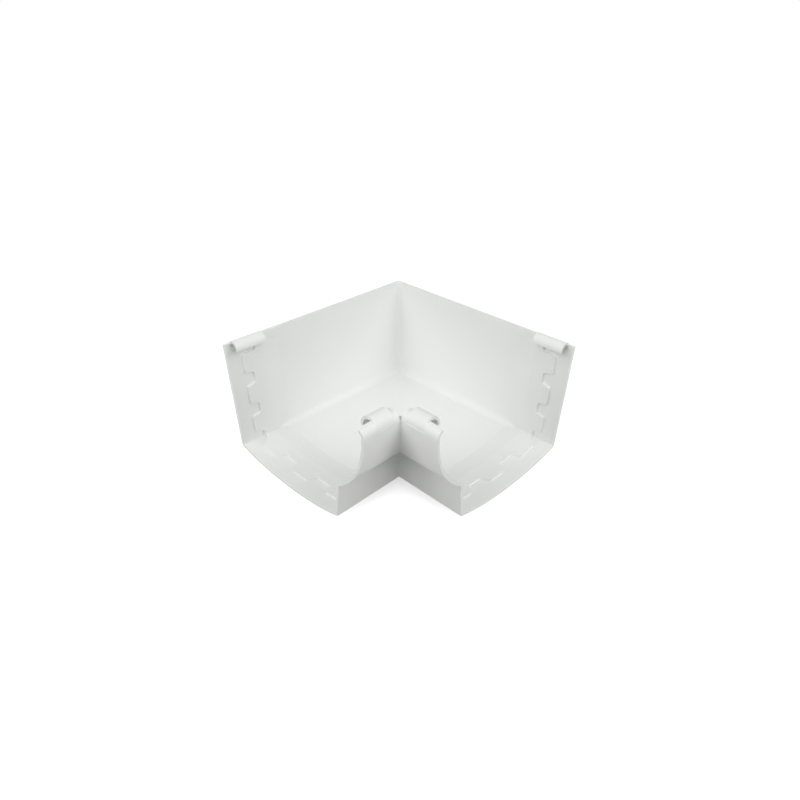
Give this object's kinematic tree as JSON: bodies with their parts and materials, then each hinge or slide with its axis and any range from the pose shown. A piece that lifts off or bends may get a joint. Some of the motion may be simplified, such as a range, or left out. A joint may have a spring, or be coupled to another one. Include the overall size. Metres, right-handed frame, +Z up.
{
  "type": "internal gutter angle",
  "caption": "L-shaped moulded gutter corner with tall plain back walls, a shallow curved floor, an ovolo front with a rolled lip, and a toothed stop rib inside each open end.",
  "frame": {"origin": "middle of the underside of the bounding box, on the surface the fitting stands on; the outer back corner is at x = y = -90 mm", "axes": "+Z up out of the open top; the arms run along +X and +Y from the outer back corner, and open at x = +90 mm and y = +90 mm"},
  "size_m": [0.18, 0.18, 0.1001],
  "materials": {
    "white_pvc": "satin white uPVC, as moulded"
  },
  "bodies": {
    "root": {"gutter_angle": "white_pvc"}
  },
  "joints": []
}
